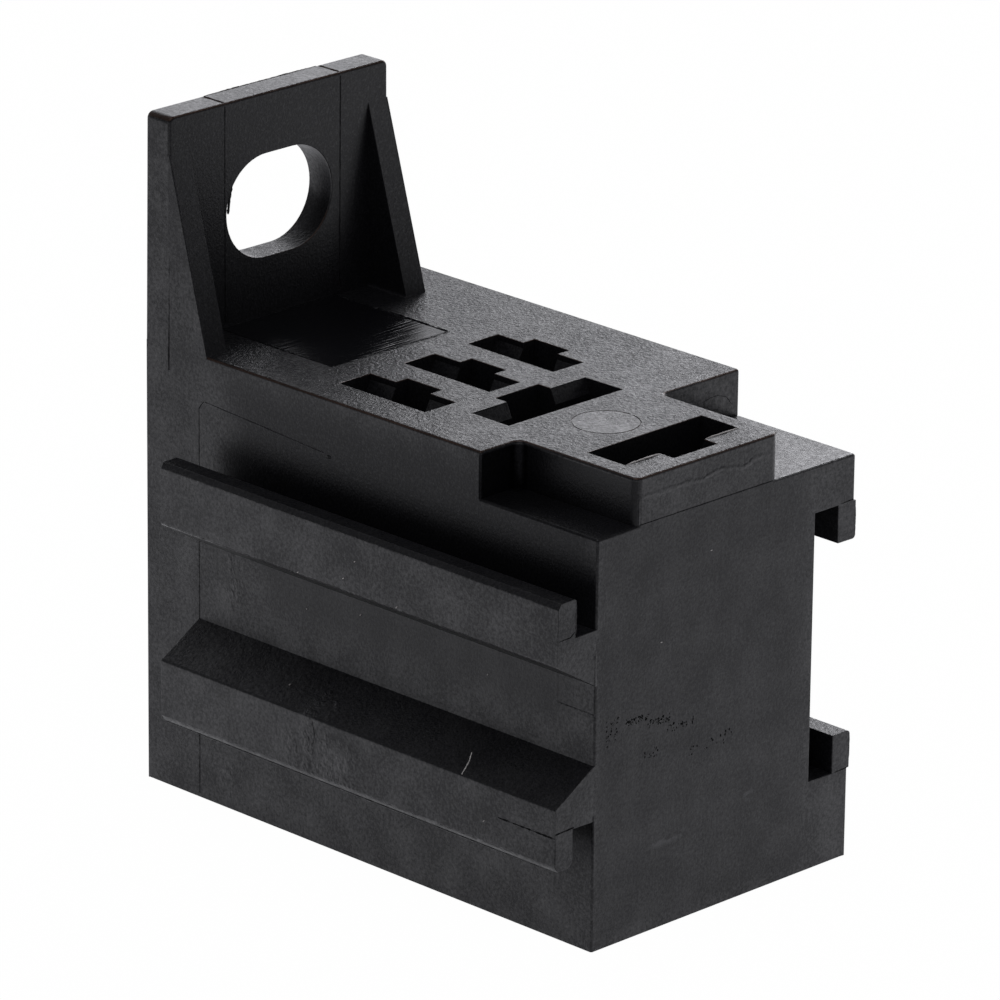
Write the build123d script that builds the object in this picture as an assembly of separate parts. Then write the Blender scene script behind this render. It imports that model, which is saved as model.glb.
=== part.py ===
from build123d import *
import os

# One-piece moulded relay housing. Five blade sockets open in the raised seat on top, a tab at the back
# takes the mounting screw, and rails on the left wall slide into the channel of the next housing.
# The model is drawn with the left wall at x = 0, the front face at y = 0 and the underside at z = 0,
# and then moved so that its origin is the bottom centre of the whole box. All sizes are in millimetres.

os.makedirs("parts", exist_ok=True)

# Body block
pitch = 30.0              # left wall to the faces of the right-hand lips, the spacing of ganged housings
body_depth = 52.5         # front face to the mounting face at the back
shoulder_height = 35.2    # underside to the two low ledges beside the nose
seat_height = 39.2        # underside to the face that the relay stands on
corner_round = 0.2        # outer edges that run upwards
top_round = 0.25          # outer edges of the top faces and of the tab

# Nose, the narrow front part of the seat
nose_left = 4.3           # left wall to the nose
nose_width = 16.45
nose_depth = 13.1         # front face to the wide part of the seat
nose_round = 0.7

# Rails on the left wall
rail_length = 46.05
rail_reach = 4.3          # wall to the outer face
rail_lip = 2.0            # thickness of the lip, along x
rail_middle = 19.45       # height of the plane that the two rails mirror in
rail_tip = 11.4           # middle plane to the tip of a lip
rail_root = 8.15          # middle plane to the floor of the gap behind a lip
rail_slope_outer = 6.0    # middle plane to the sloping flank at the outer face
rail_slope_wall = 3.4     # middle plane to the sloping flank at the wall
rail_round = 0.35         # knee between the sloping flank and the outer face
tip_chamfer_width = 0.3   # outer corner of a lip's tip, along x
tip_chamfer_height = 0.5  # the same corner, along z
upper_tip_round = 0.25    # inner corner of the upper lip's tip
lower_tip_round = 0.8     # inner corner of the lower lip's tip

# Channel on the right, which takes the rails of the next housing
reach_clearance = 0.4     # rail face to the floor of the channel
lip_clearance = 0.4       # lip of the rail to the lip of the channel
tip_clearance = 0.3       # tip of the rail to the side of the channel
root_clearance = 0.25     # root of the rail to the lip of the channel
end_clearance = 0.45      # end of the rail to the stop of the channel
lip_step = 0.18           # how far the lips stand proud of the wall, where the side cores meet the main mould
hook_round = 0.35         # outer corner of a hook's tip

# Mounting tab, with a gusset at each end
tab_rise = 19.5           # seat to the top of the tab
tab_thickness = 2.8
tab_draft = 0.2           # how far each end leans in over the rise
tab_round = 0.6
gusset_thickness = 2.3
gusset_rise = 16.2        # seat to where the gusset runs out on the tab
gusset_foot = 4.6         # length of the gusset on the seat
gusset_root_round = 0.3   # hollow round where a gusset's inner side meets the seat
hole_length = 12.1
hole_height = 9.0
hole_rise = 9.7           # seat to the middle of the screw hole

# Sockets for the blades. Each is a slot with a bump on one side, where the terminal's lance springs out. The
# wall on that side slopes inwards on either side of the bump, which leads the blade into the terminal
small_slot_length = 9.9
small_slot_width = 3.5
small_bump_length = 3.95
small_bump_depth = 1.35
small_pitch = 7.375
small_row_y = 28.0        # front face to the middle of the row of three
large_slot_length = 13.1
large_slot_width = 4.2
large_bump_length = 5.0
large_bump_depth = 1.4
small_ramp_start = 0.5    # seat to the start of the sloping wall
large_ramp_start = 0.1
ramp_depth = 1.15         # height of the sloping wall
ramp_run = 0.6            # how far it slopes into the slot
front_slot_y = 5.05
middle_slot_y = 18.15
lock_depth = 12.0         # seat to the top of the shoulder that the lance latches under
lock_thickness = 2.0      # height of that shoulder
entry_margin = 0.3        # how much the wire entry is wider than the slot
entry_lead_in = 0.3       # chamfer round the mouth of an entry

# Core-outs that keep the moulding's walls even, open at the underside
core_wall = 2.3
core_web = 1.8
core_roof = 3.0
core_round = 0.6

# Places that follow from the sizes above
channel_floor = pitch - rail_reach - reach_clearance
body_middle = channel_floor / 2
hook_lip = rail_reach - rail_lip - lip_clearance
channel_length = rail_length + end_clearance
channel_half = rail_tip + tip_clearance
mouth_half = rail_root + root_clearance
tab_front = body_depth - tab_thickness
tab_top = seat_height + tab_rise
lock_top = seat_height - lock_depth
entry_top = lock_top - lock_thickness
overlap = 1.0             # how far one form reaches into another before they are fused


def outline(points):
    """Closed face through a list of points."""
    return make_face(Polyline(*points, close=True))


def rounded_outline(corners):
    """Closed face through a list of corners, each an x, a y and a radius that may be nought."""
    face = outline([(x, y) for x, y, radius in corners])
    for x, y, radius in corners:
        if radius > 0:
            face = fillet(face.vertices().sort_by_distance((x, y, 0))[0], radius)
    return face


def along_y(face, start, length):
    """Extrude a face of the x-z plane towards the back."""
    return extrude(Plane.XZ.offset(-start) * face, amount=-length)


def upright(face, bottom, top):
    """Extrude a face of the x-y plane from one height to another."""
    return extrude(Pos(0, 0, bottom) * face, amount=top - bottom)


def block(x_low, x_high, y_low, y_high, radius=0):
    """Rectangle between two corners of a plan, with round corners where a radius is given."""
    return rounded_outline([
        (x_low, y_low, radius),
        (x_high, y_low, radius),
        (x_high, y_high, radius),
        (x_low, y_high, radius),
    ])


def round_top(solid):
    """Round the edges of a solid's top face."""
    return fillet(solid.faces().sort_by(Axis.Z)[-1].edges(), top_round)


def base():
    """Block below the shoulder, with its upper edge rounded."""
    return round_top(upright(block(0, pitch, 0, body_depth, corner_round), 0, shoulder_height))


def seat():
    """Raised seat: a wide part towards the back, and the nose that reaches the front face."""
    nose_right = nose_left + nose_width
    plan = rounded_outline([
        (0, nose_depth, corner_round),
        (nose_left, nose_depth, nose_round),
        (nose_left, 0, nose_round),
        (nose_right, 0, nose_round),
        (nose_right, nose_depth, nose_round),
        (pitch, nose_depth, corner_round),
        (pitch, body_depth, corner_round),
        (0, body_depth, corner_round),
    ])
    return round_top(upright(plan, shoulder_height - overlap, seat_height))


def rail_face(tip_round):
    """Section of one rail, as the upper one lies: a sloping flank, a root and a lip that points up."""
    inner = rail_reach - rail_lip
    return rounded_outline([
        (overlap, rail_slope_wall, 0),
        (0, rail_slope_wall, 0),
        (-rail_reach, rail_slope_outer, rail_round),
        (-rail_reach, rail_tip - tip_chamfer_height, 0),
        (tip_chamfer_width - rail_reach, rail_tip, 0),
        (-inner, rail_tip, tip_round),
        (-inner, rail_root, 0),
        (overlap, rail_root, 0),
    ])


def rails():
    """Both rails. The lower one is the upper one mirrored, with a rounder tip."""
    upper = rail_face(upper_tip_round)
    lower = mirror(rail_face(lower_tip_round), Plane.XZ)
    return along_y(Pos(0, rail_middle) * (upper + lower), 0, rail_length)


def channel():
    """Space that takes the rails of the next housing, before its lips are added."""
    face = block(channel_floor, pitch + overlap, rail_middle - channel_half, rail_middle + channel_half)
    return along_y(face, -overlap, channel_length + overlap)


def hooks():
    """The two lips of the channel, which stand a little proud of the wall and have round tips."""
    inner = pitch - hook_lip
    outer = pitch + lip_step
    lip = rounded_outline([
        (inner, channel_half, 0),
        (inner, mouth_half, 0),
        (outer, mouth_half, hook_round),
        (outer, channel_half, 0),
    ])
    return along_y(Pos(0, rail_middle) * (lip + mirror(lip, Plane.XZ)), 0, channel_length)


def tab_outline():
    """Front view of the tab: its ends lean in a little and its top corners are round."""
    return rounded_outline([
        (0, seat_height - overlap, 0),
        (channel_floor, seat_height - overlap, 0),
        (channel_floor - tab_draft, tab_top, tab_round),
        (tab_draft, tab_top, tab_round),
    ])


def tab_plate():
    """Upright plate at the back, flush with the mounting face, with its outer edges rounded."""
    plate = along_y(tab_outline(), tab_front, tab_thickness)
    broad_faces = plate.faces().filter_by(Axis.Y)
    rim = [edge for edge in broad_faces.edges() if edge.center().Z > seat_height]
    plate = fillet(rim, top_round)
    hole = Pos(body_middle, seat_height + hole_rise) * SlotOverall(hole_length, hole_height)
    return plate - along_y(hole, tab_front - overlap, tab_thickness + 2 * overlap)


def gussets():
    """Triangular web at each end of the tab, flush with its end, evenly thick, and round at its root."""
    web_face = outline([
        (tab_front + tab_thickness / 2, seat_height - overlap),
        (tab_front + tab_thickness / 2, seat_height + gusset_rise),
        (tab_front, seat_height + gusset_rise),
        (tab_front - gusset_foot, seat_height),
        (tab_front - gusset_foot, seat_height - overlap),
    ])
    web = extrude(Plane.YZ * web_face, amount=pitch)
    lean = tab_draft / (tab_rise + overlap) * (gusset_rise + overlap)
    between = rounded_outline([
        (gusset_thickness, seat_height, gusset_root_round),
        (channel_floor - gusset_thickness, seat_height, gusset_root_round),
        (channel_floor - gusset_thickness - lean, seat_height + gusset_rise + overlap, 0),
        (gusset_thickness + lean, seat_height + gusset_rise + overlap, 0),
    ])
    ends = along_y(tab_outline() - between, tab_front - gusset_foot, gusset_foot + tab_thickness / 2)
    return web & ends


def blade_slot(length, width, ramp_start):
    """Slot along x for the blade. Its wall on the +y side slopes inwards a little way down."""
    ramp_top = seat_height - ramp_start
    section = outline([
        (-width / 2, entry_top - overlap),
        (width / 2 - ramp_run, entry_top - overlap),
        (width / 2 - ramp_run, ramp_top - ramp_depth),
        (width / 2, ramp_top),
        (width / 2, seat_height + overlap),
        (-width / 2, seat_height + overlap),
    ])
    return extrude(Plane.YZ.offset(-length / 2) * section, amount=length)


def socket(length, width, bump_length, bump_depth, ramp_start):
    """Cavity of one socket: the slot seen on top, the lance's shoulder, and the wire entry below."""
    slot = blade_slot(length, width, ramp_start)
    bump_plan = block(-bump_length / 2, bump_length / 2, -width / 2, width / 2 + bump_depth)
    bump = upright(bump_plan, lock_top, seat_height + overlap)
    half_length = length / 2 + entry_margin
    near_side = width / 2 + entry_margin
    lance_side = width / 2 + bump_depth
    entry = upright(block(-half_length, half_length, -near_side, lance_side), -overlap, entry_top)
    mouth = loft([
        Pos(0, 0, -entry_lead_in) * block(
            -half_length - 2 * entry_lead_in,
            half_length + 2 * entry_lead_in,
            -near_side - 2 * entry_lead_in,
            lance_side + 2 * entry_lead_in,
        ),
        Pos(0, 0, entry_lead_in) * block(-half_length, half_length, -near_side, lance_side),
    ])
    return slot + bump + entry + mouth


def sockets():
    """All five cavities: three small ones in a row, and two large ones across the front."""
    small = socket(small_slot_length, small_slot_width, small_bump_length, small_bump_depth, small_ramp_start)
    large = socket(large_slot_length, large_slot_width, large_bump_length, large_bump_depth, large_ramp_start)
    row = [Pos(body_middle + step * small_pitch, small_row_y) * Rot(0, 0, -90) * small for step in (-1, 0, 1)]
    middle = Pos(body_middle, middle_slot_y) * large
    front = Pos(body_middle, front_slot_y) * Rot(0, 0, 180) * large
    return row + [middle, front]


def core_outs():
    """Pockets in the underside: two behind the row of three, and one between the large sockets."""
    rear_low = small_row_y + small_slot_length / 2 + entry_margin + core_web
    rear_high = body_depth - core_wall
    between_low = front_slot_y + large_slot_width / 2 + entry_margin + core_web
    between_high = middle_slot_y - large_slot_width / 2 - entry_margin - core_web
    between_half = large_slot_length / 2
    plans = [
        block(core_wall, body_middle - core_web / 2, rear_low, rear_high, core_round),
        block(body_middle + core_web / 2, channel_floor - core_wall, rear_low, rear_high, core_round),
        block(body_middle - between_half, body_middle + between_half, between_low, between_high, core_round),
    ]
    return [upright(plan, -overlap, seat_height - core_roof) for plan in plans]


def housing():
    """The whole moulding, as one solid."""
    solid = base() + seat() + rails() + tab_plate() + gussets()
    solid = solid - channel() + hooks()
    for cavity in sockets() + core_outs():
        solid = solid - cavity
    return solid


to_origin = Pos((rail_reach - pitch - lip_step) / 2, -body_depth / 2, 0)
moulding = to_origin * housing()
moulding.label = "housing"
export_step(moulding, "parts/housing.step")
print("volume of the housing", round(moulding.volume, 1), "cubic millimetres")
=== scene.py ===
# %% [markdown]
# A relay housing is one black plastic moulding. This lesson starts from its exact solid, which another
# program has modelled and packed, and gives it the looks of the real thing: soft edges, moulding marks and
# a fine grain. The solid comes first, because everything that follows is placed by its sizes.

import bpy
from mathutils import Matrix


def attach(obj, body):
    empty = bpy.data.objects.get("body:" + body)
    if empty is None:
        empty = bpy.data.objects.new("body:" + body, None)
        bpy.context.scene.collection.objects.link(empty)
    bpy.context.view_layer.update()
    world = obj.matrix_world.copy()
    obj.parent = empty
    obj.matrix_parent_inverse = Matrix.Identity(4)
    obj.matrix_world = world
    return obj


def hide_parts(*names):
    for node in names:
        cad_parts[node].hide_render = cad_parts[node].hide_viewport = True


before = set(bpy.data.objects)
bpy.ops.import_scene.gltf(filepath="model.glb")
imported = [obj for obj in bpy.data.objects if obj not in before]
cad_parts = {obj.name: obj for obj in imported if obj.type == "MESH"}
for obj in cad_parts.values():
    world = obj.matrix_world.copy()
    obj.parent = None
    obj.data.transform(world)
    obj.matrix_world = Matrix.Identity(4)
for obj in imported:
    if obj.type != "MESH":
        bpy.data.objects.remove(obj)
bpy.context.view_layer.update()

import math
import random

import bmesh
import bpy
from mathutils import Matrix, Vector
from mathutils.bvhtree import BVHTree
from mathutils.kdtree import KDTree

scene = bpy.context.scene
scene.view_settings.view_transform = "Standard"

# %% [markdown]
# The solid was drawn with its left wall, front face and underside at nought, which makes every measure on
# the photograph easy to write down. Blender holds it with its origin in the middle of its underside, in
# metres. One small function turns a drawn place in millimetres into Blender's, so the rest can keep the
# drawn numbers.

# %% From the drawing to Blender
MM = 0.001
SHIFT_X = -12.94     # from the left wall to the middle of the whole box
SHIFT_Y = -26.25     # from the front face to the middle


def at(x, y, z):
    """A place on the drawing, in millimetres, as Blender's vector in metres."""
    return Vector((x + SHIFT_X, y + SHIFT_Y, z)) * MM


print("front face meets the left wall and the underside at", tuple(at(0, 0, 0)))

# %% [markdown]
# The camera decides what the picture can be compared with, so it comes before any finish. A long lens from
# far away keeps upright edges nearly parallel, as a product photographer does it. Its place was found by
# fitting the corners of the solid to the photograph. Two angles, a distance and a point to look at
# describe it best, because each can be turned by itself.

# %% The camera
AIM = at(12.02, 22.808, 29.622)
AZIMUTH = math.radians(-45.194)
ELEVATION = math.radians(19.746)
ROLL = math.radians(0.651)
DISTANCE = 635.174 * MM
LENS = 279.47
SENSOR = 36.0

backwards = Vector((
    math.sin(AZIMUTH) * math.cos(ELEVATION),
    -math.cos(AZIMUTH) * math.cos(ELEVATION),
    math.sin(ELEVATION),
))
sideways = Vector((math.cos(AZIMUTH), math.sin(AZIMUTH), 0))
upright = backwards.cross(sideways)
right = sideways * math.cos(ROLL) + upright * math.sin(ROLL)
up = upright * math.cos(ROLL) - sideways * math.sin(ROLL)

camera_data = bpy.data.cameras.new("camera")
camera_data.lens = LENS
camera_data.sensor_width = SENSOR
camera = bpy.data.objects.new("camera", camera_data)
turn = Matrix((right, up, backwards)).transposed().to_4x4()
camera.matrix_world = Matrix.Translation(AIM + backwards * DISTANCE) @ turn
scene.collection.objects.link(camera)
scene.camera = camera
print("camera at", tuple(round(value, 4) for value in camera.location))

# %% [markdown]
# Shader nodes are wired by hand in the editor, but a formula with ten Math nodes is hard to read there.
# Here a small class wraps an output socket, so that a sum written in Python adds the Math nodes for it. A
# second class adds every other kind of node in one line. Both work in shader trees and in geometry trees.

# %% Node trees as formulas
class Wire:
    """An output socket. Arithmetic on it adds Math nodes and gives the socket of the result."""

    def __init__(self, recipe, socket):
        self.recipe = recipe
        self.socket = socket

    def math(self, operation, other=0.0):
        return self.recipe.add("ShaderNodeMath", {"operation": operation}, {0: self, 1: other})

    def __add__(self, other):
        return self.math("ADD", other)

    def __sub__(self, other):
        return self.math("SUBTRACT", other)

    def __mul__(self, other):
        return self.math("MULTIPLY", other)

    def __radd__(self, other):
        return self.math("ADD", other)

    def __rmul__(self, other):
        return self.math("MULTIPLY", other)

    def __rsub__(self, other):
        return self.recipe.add("ShaderNodeMath", {"operation": "SUBTRACT"}, {0: other, 1: self})

    def size(self):
        return self.math("ABSOLUTE")

    def least(self, other):
        return self.math("MINIMUM", other)

    def most(self, other):
        return self.math("MAXIMUM", other)

    def between(self, low, high, soft):
        """One between two values, nought outside them, with a soft rise and fall."""
        return self.ramp(low - soft, low + soft) * self.ramp(high + soft, high - soft)

    def ramp(self, low, high):
        """Nought below low, one above high, and a soft rise between. With low over high it falls."""
        settings = {"interpolation_type": "SMOOTHSTEP"}
        if low > high:
            return 1.0 - self.ramp(high, low)
        return self.recipe.add("ShaderNodeMapRange", settings, {0: self, 1: low, 2: high, 3: 0.0, 4: 1.0})


class Recipe:
    """A node tree that is filled from Python."""

    def __init__(self, tree):
        self.tree = tree

    def add(self, kind, settings=None, inputs=None, output=0):
        """Add a node, set its settings, then set or link its inputs. Gives one of its outputs."""
        node = self.tree.nodes.new(kind)
        for name, value in (settings or {}).items():
            setattr(node, name, value)
        for name, value in (inputs or {}).items():
            if isinstance(value, Wire):
                self.tree.links.new(value.socket, node.inputs[name])
            else:
                node.inputs[name].default_value = value
        return Wire(self, node.outputs[output]) if node.outputs else None

    def given(self, name):
        """One of the values that a geometry tree is handed."""
        return self.add("NodeGroupInput", output=name)

    def mix_colours(self, factor, first, second):
        """Blend of two colours."""
        return self.add("ShaderNodeMix", {"data_type": "RGBA"}, {0: factor, 6: first, 7: second}, output=2)


def new_recipe(name):
    """A material with an empty tree, and the recipe that fills it."""
    material = bpy.data.materials.new(name)
    material.use_nodes = True
    material.node_tree.nodes.clear()
    return material, Recipe(material.node_tree)


print("formulas can now be written as node trees")

# %% [markdown]
# The real housing was photographed on white. A black glossy thing has almost no colour of its own: what it
# shows is the room, mirrored weakly. So the room matters more here than any lamp. The world is white for
# the camera, and white with a hint of blue for all other rays. Light Path tells mirrored rays from the
# rays that light the scene, so the plain level of light stays apart from the white background. A studio is
# dimmer overhead and on the photographer's side, and a black thing shows that too, so the mirrored white
# fades in those two directions.

# %% The white room
ROOM_LIGHT = 0.4               # how much the world lights the scene
ROOM_WHITE = 1.0               # what the camera and mirrored rays see
CEILING_FADE = (0.3, 0.8)      # from this height in a direction to that one, the mirrored white fades
CEILING_DIMNESS = 0.85         # how much of it is gone overhead
FRONT_FADE = (-0.7, 0.0)       # the same from behind the object to beside it
FRONT_DIMNESS = 0.9            # and how much is gone on the photographer's side
TOWARDS_CAMERA = (-0.71, -0.70, 0.0)
WHITE = (1.0, 1.0, 1.0, 1.0)
COOL_WHITE = (0.955, 0.955, 1.0, 1.0)     # a studio's tubes are a little blue in a mirror image

world = bpy.data.worlds.new("white_room")
scene.world = world
world.use_nodes = True
world.node_tree.nodes.clear()
room = Recipe(world.node_tree)
seen_by_camera = room.add("ShaderNodeLightPath", output="Is Camera Ray")
seen_in_gloss = room.add("ShaderNodeLightPath", output="Is Glossy Ray")
seen_through = room.add("ShaderNodeLightPath", output="Is Transmission Ray")
direction = room.add("ShaderNodeTexCoord", output="Generated")
height = room.add("ShaderNodeSeparateXYZ", None, {0: direction}, output="Z")
frontness = room.add(
    "ShaderNodeVectorMath", {"operation": "DOT_PRODUCT"}, {0: direction, 1: TOWARDS_CAMERA}, output="Value")
overhead = height.ramp(*CEILING_FADE)
in_front_of_it = frontness.ramp(*FRONT_FADE)
mirrored_white = (1.0 - overhead * CEILING_DIMNESS) * (1.0 - in_front_of_it * FRONT_DIMNESS)
seen_strength = seen_by_camera * ROOM_WHITE + (seen_in_gloss + seen_through) * mirrored_white * ROOM_WHITE
lit_strength = (1.0 - (seen_by_camera + seen_in_gloss + seen_through).least(1.0)) * ROOM_LIGHT
room_colour = room.mix_colours(seen_by_camera, COOL_WHITE, WHITE)
room_strength = seen_strength + lit_strength
room_glow = room.add("ShaderNodeBackground", None, {"Color": room_colour, "Strength": room_strength})
room.add("ShaderNodeOutputWorld", None, {"Surface": room_glow})
print("nodes in the world:", len(world.node_tree.nodes))

# %% [markdown]
# The floor is a plain white sheet. Shaded paper would render light grey, so for the camera and for
# mirrored rays most of it is a plain glow of strength one. The rest stays ordinary paper, and that part
# keeps the shadow. In mirrored rays a band of it in front of the housing is dark, like a floor in the
# photographer's own shadow, so that the walls don't turn grey half way up.

# %% The floor
FLOOR_SIZE = 3.0
FLOOR_DROP = 0.05        # millimetres below the underside, so that the two faces never touch
FLOOR_COLOUR = (0.95, 0.95, 0.95, 1.0)
FLOOR_GLOW = 0.99        # share of the floor that glows for the camera
FLOOR_GLOSS_GLOW = 0.6   # share of it that glows for mirrored rays
DARK_STARTS = 0.05       # metres in front of the middle where the mirrored floor starts to fade
DARK_FULL = 0.09
DARK_FADES = 0.11        # and where it starts to be light again
DARK_ENDS = 0.14

floor_material, paper = new_recipe("white_paper")
by_camera = paper.add("ShaderNodeLightPath", output="Is Camera Ray")
by_gloss = paper.add("ShaderNodeLightPath", output="Is Glossy Ray")
by_transmission = paper.add("ShaderNodeLightPath", output="Is Transmission Ray")
floor_place = paper.add("ShaderNodeTexCoord", output="Object")
in_front = paper.add(
    "ShaderNodeVectorMath", {"operation": "DOT_PRODUCT"}, {0: floor_place, 1: TOWARDS_CAMERA}, output="Value")
mirrored = (by_gloss + by_transmission).least(1.0)
dark_band = in_front.ramp(DARK_STARTS, DARK_FULL) * in_front.ramp(DARK_ENDS, DARK_FADES)
dimmed = 1.0 - dark_band * mirrored * FRONT_DIMNESS
glow_share = (by_camera * FLOOR_GLOW + mirrored * FLOOR_GLOSS_GLOW).least(1.0)
matt = paper.add("ShaderNodeBsdfDiffuse", None, {"Color": FLOOR_COLOUR})
glow_colour = paper.mix_colours(by_camera, COOL_WHITE, WHITE)
glow = paper.add("ShaderNodeEmission", None, {"Color": glow_colour, "Strength": 1.0})
lit_paper = paper.add("ShaderNodeMixShader", None, {0: glow_share, 1: matt, 2: glow})
darkness = paper.add("ShaderNodeEmission", None, {"Strength": 0.0})
paper_surface = paper.add("ShaderNodeMixShader", None, {0: dimmed, 1: darkness, 2: lit_paper})
paper.add("ShaderNodeOutputMaterial", None, {"Surface": paper_surface})

floor_mesh = bpy.data.meshes.new("floor")
half_floor = FLOOR_SIZE / 2
floor_signs = ((-1, -1), (1, -1), (1, 1), (-1, 1))
floor_corners = [(half_floor * sign_x, half_floor * sign_y, 0) for sign_x, sign_y in floor_signs]
floor_mesh.from_pydata(floor_corners, [], [(0, 1, 2, 3)])
floor_mesh.materials.append(floor_material)
floor = bpy.data.objects.new("floor", floor_mesh)
floor.location.z = -FLOOR_DROP * MM
scene.collection.objects.link(floor)
print("floor is", FLOOR_SIZE, "metres wide")

# %% [markdown]
# Two large soft boxes light the scene. The one behind stands low and well to the right, where the flat top
# of the housing mirrors it to the camera. That makes the top so much lighter than the walls, and lighter
# on its right. The other is overhead, and fills the rest.

# %% The soft boxes
BOXES_LOOK_AT = (0, 0, 0.03)
SOFT_BOXES = {      # name: place, width and height in metres, and watts
    "back_box": ((1.5, 0.62, 0.7), 1.0, 0.8, 10.0),
    "top_box": ((-0.3, -0.2, 1.3), 1.0, 1.0, 5.0),
}


def soft_box(name, place, width, height, power):
    """A rectangular area lamp that looks at the middle of the object."""
    lamp = bpy.data.lights.new(name, "AREA")
    lamp.shape = "RECTANGLE"
    lamp.size = width
    lamp.size_y = height
    lamp.energy = power
    lamp.color = COOL_WHITE[:3]
    stand = bpy.data.objects.new(name, lamp)
    away = Vector(place) - Vector(BOXES_LOOK_AT)
    stand.matrix_world = Matrix.Translation(place) @ away.to_track_quat("Z", "Y").to_matrix().to_4x4()
    scene.collection.objects.link(stand)
    stand.visible_camera = False


for box_name, box_values in SOFT_BOXES.items():
    soft_box(box_name, *box_values)

# %% [markdown]
# A finish on a real thing varies from place to place, and so must its shader. Object coordinates stay with
# the surface from every side. Here a Mapping node turns them into drawn millimetres, so that each mark can
# be put where the photograph shows it, and every noise can be given its size on the real part.

# %% Places in drawn millimetres
def surface_place(recipe):
    """Place on the surface in drawn millimetres, as a vector and as three numbers."""
    local = recipe.add("ShaderNodeTexCoord", output="Object")
    drawn = recipe.add("ShaderNodeMapping", {"vector_type": "POINT"}, {
        "Vector": local,
        "Location": (-SHIFT_X, -SHIFT_Y, 0),
        "Scale": (1 / MM, 1 / MM, 1 / MM),
    })
    x = recipe.add("ShaderNodeSeparateXYZ", None, {0: drawn}, output="X")
    y = recipe.add("ShaderNodeSeparateXYZ", None, {0: drawn}, output="Y")
    z = recipe.add("ShaderNodeSeparateXYZ", None, {0: drawn}, output="Z")
    return drawn, x, y, z


def noise(recipe, place, scale, detail=2.0, stretch=(1, 1, 1), fine=0.5):
    """Noise with a scale per millimetre, stretched along an axis where its factor is below one."""
    stretched = recipe.add("ShaderNodeVectorMath", {"operation": "MULTIPLY"}, {0: place, 1: stretch})
    inputs = {"Vector": stretched, "Scale": scale, "Detail": detail, "Roughness": fine}
    return recipe.add("ShaderNodeTexNoise", None, inputs)


print("one unit of a pattern is now one millimetre")

# %% [markdown]
# The plastic is a black engineering resin. Its mould was spark-eroded, which leaves a fine even grain, so
# its mirror image of the room is blurred and speckled. One Principled shader does it: a nearly black
# colour, a middling roughness, a small bump, and a thin glossy coat of varying weight, called the skin
# here. The skin carries a fine speckle and soft clouds, because no moulding fills and cools evenly. Where
# the housing faces up, its speckle and its grain are coarser.

# %% Black plastic
PLASTIC_ROUGHNESS = 0.36
CLOUDED_ROUGHNESS = 0.08     # how much the clouds change it
SPECULAR_LEVEL = 0.30
SKIN_WEIGHT = 0.5            # twice the average weight of the glossy skin
SKIN_SPECKLE = 3.2           # contrast of its fine speckle
SKIN_CLOUDS = 2.2            # and of its soft clouds
SEAT_SPECKLE = 3.0           # contrast of the coarser speckle where the housing faces up
SPECKLE_SCALE = 3.0          # how many to a millimetre
SEAT_SPECKLE_SCALE = 1.7
CLOUD_SCALE = 0.3
GRAIN_SIZE = 0.22            # millimetres from grain to grain on the walls
GRAIN_DEPTH = 0.024          # millimetres from hollow to crest
SEAT_GRAIN_SIZE = 0.33       # the same where the housing faces up
SEAT_GRAIN_DEPTH = 0.11
SEAT_SLANT = (0.7, 1.0)      # upward part of the normal over which the coarser grain sets in
LEVEL_SLANT = (0.9, 0.95)    # and over which a face starts to count as level

black_plastic, plastic = new_recipe("black_plastic")
drawn, x, y, z = surface_place(plastic)
face_normal = plastic.add("ShaderNodeNewGeometry", output="Normal")
slant = plastic.add("ShaderNodeSeparateXYZ", None, {0: face_normal}, output="Z")
level = slant.ramp(*LEVEL_SLANT)
grain = noise(plastic, drawn, 1 / GRAIN_SIZE, 3.0)
seat_grain = noise(plastic, drawn, 1 / SEAT_GRAIN_SIZE, 3.0, fine=0.65)
all_grain = grain * GRAIN_DEPTH + slant.ramp(*SEAT_SLANT) * seat_grain * SEAT_GRAIN_DEPTH
cloud = noise(plastic, drawn, CLOUD_SCALE, 4.0)
speckle = noise(plastic, drawn, SPECKLE_SCALE, 2.0, fine=0.7)
seat_speckle = noise(plastic, drawn, SEAT_SPECKLE_SCALE, 3.0, fine=0.75)
seat_speckle = (seat_speckle - 0.5) * level * SEAT_SPECKLE
skin = 0.5 + (speckle - 0.5) * SKIN_SPECKLE + (cloud - 0.5) * SKIN_CLOUDS + seat_speckle
skin = skin.most(0.0) * SKIN_WEIGHT
roughness = PLASTIC_ROUGHNESS + (cloud - 0.5) * CLOUDED_ROUGHNESS
print("grain of", GRAIN_SIZE, "mm on", black_plastic.name)

# %% [markdown]
# Some places are not plain grain. To treat them apart, each gets a mask: one inside its bounds and nought
# outside. The bounds are ranges of the drawn place, so a mask covers the same spot from every side of the
# camera. A table of zones keeps them in sight, and one function makes the mask of any of them.

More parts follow.
